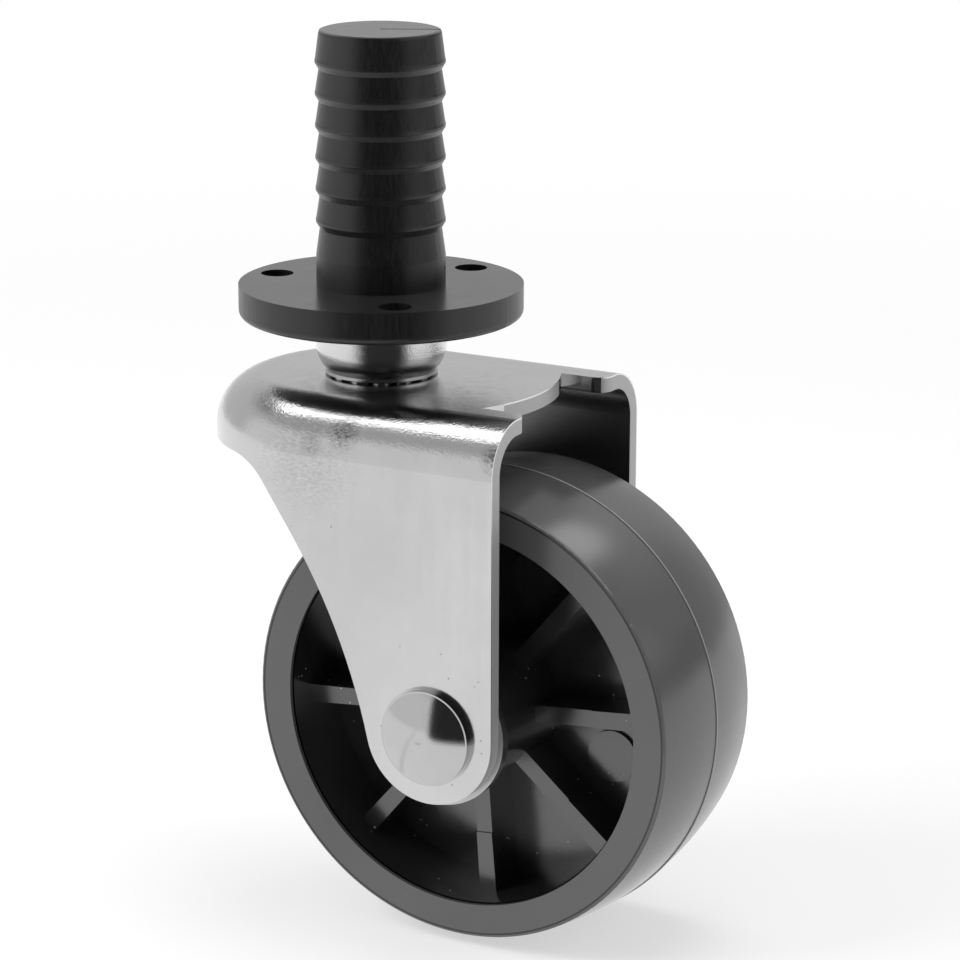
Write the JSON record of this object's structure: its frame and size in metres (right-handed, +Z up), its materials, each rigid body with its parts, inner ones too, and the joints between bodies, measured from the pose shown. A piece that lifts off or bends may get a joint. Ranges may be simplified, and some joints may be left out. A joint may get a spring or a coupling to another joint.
{
  "type": "stem castor",
  "caption": "Swivel castor with a barbed push-in stem and screw flange, a ball-bearing swivel head, a pressed steel fork and a ribbed wheel with a soft tyre.",
  "frame": {"origin": "on the swivel axis, in the top face of the socket's flange, where the barbed stem begins", "axes": "+Z up the stem, +X back towards the axle as the castor trails, and -Y towards the side that the picture shows"},
  "size_m": [0.0864, 0.0552, 0.1421],
  "materials": {
    "black_plastic": "matt",
    "zinc_steel": "bright zinc plate",
    "ball_steel": "polished",
    "wheel_plastic": "gloss",
    "tyre_rubber": "satin"
  },
  "bodies": {
    "socket_body": {"socket": "black_plastic", "king_pin": "zinc_steel", "swivel_collar": "zinc_steel", "lower_race": "zinc_steel"},
    "fork_body": {"fork": "zinc_steel", "axle_rivet": "zinc_steel", "axle_tube": "zinc_steel", "near_washer": "zinc_steel", "far_washer": "zinc_steel"},
    "wheel_body": {"wheel_core": "wheel_plastic", "tyre": "tyre_rubber"},
    "upper_ball_ring": {"upper_ball_1": "ball_steel", "upper_ball_2": "ball_steel", "upper_ball_3": "ball_steel", "upper_ball_4": "ball_steel", "upper_ball_5": "ball_steel", "upper_ball_6": "ball_steel", "upper_ball_7": "ball_steel", "upper_ball_8": "ball_steel", "upper_ball_9": "ball_steel", "upper_ball_10": "ball_steel", "upper_ball_11": "ball_steel", "upper_ball_12": "ball_steel"},
    "lower_ball_ring": {"lower_ball_1": "ball_steel", "lower_ball_2": "ball_steel", "lower_ball_3": "ball_steel", "lower_ball_4": "ball_steel", "lower_ball_5": "ball_steel", "lower_ball_6": "ball_steel", "lower_ball_7": "ball_steel", "lower_ball_8": "ball_steel", "lower_ball_9": "ball_steel", "lower_ball_10": "ball_steel", "lower_ball_11": "ball_steel", "lower_ball_12": "ball_steel", "lower_ball_13": "ball_steel", "lower_ball_14": "ball_steel", "lower_ball_15": "ball_steel", "lower_ball_16": "ball_steel", "lower_ball_17": "ball_steel", "lower_ball_18": "ball_steel"}
  },
  "joints": [
    {"name": "swivel", "type": "hinge", "parent": "socket_body", "child": "fork_body", "pos_m": [0, 0, 0], "axis": [0, 0, 1], "continuous": true},
    {"name": "wheel_spin", "type": "hinge", "parent": "fork_body", "child": "wheel_body", "pos_m": [0.0222, 0, -0.0644], "axis": [0, 1, 0], "continuous": true},
    {"name": "upper_ball_orbit", "type": "hinge", "parent": "socket_body", "child": "upper_ball_ring", "pos_m": [0, 0, 0], "axis": [0, 0, 1], "continuous": true},
    {"name": "lower_ball_orbit", "type": "hinge", "parent": "socket_body", "child": "lower_ball_ring", "pos_m": [0, 0, 0], "axis": [0, 0, 1], "continuous": true}
  ],
  "couplings": [
    {"joint": "upper_ball_orbit", "follows": "swivel", "ratio": 0.5},
    {"joint": "lower_ball_orbit", "follows": "swivel", "ratio": 0.5}
  ]
}
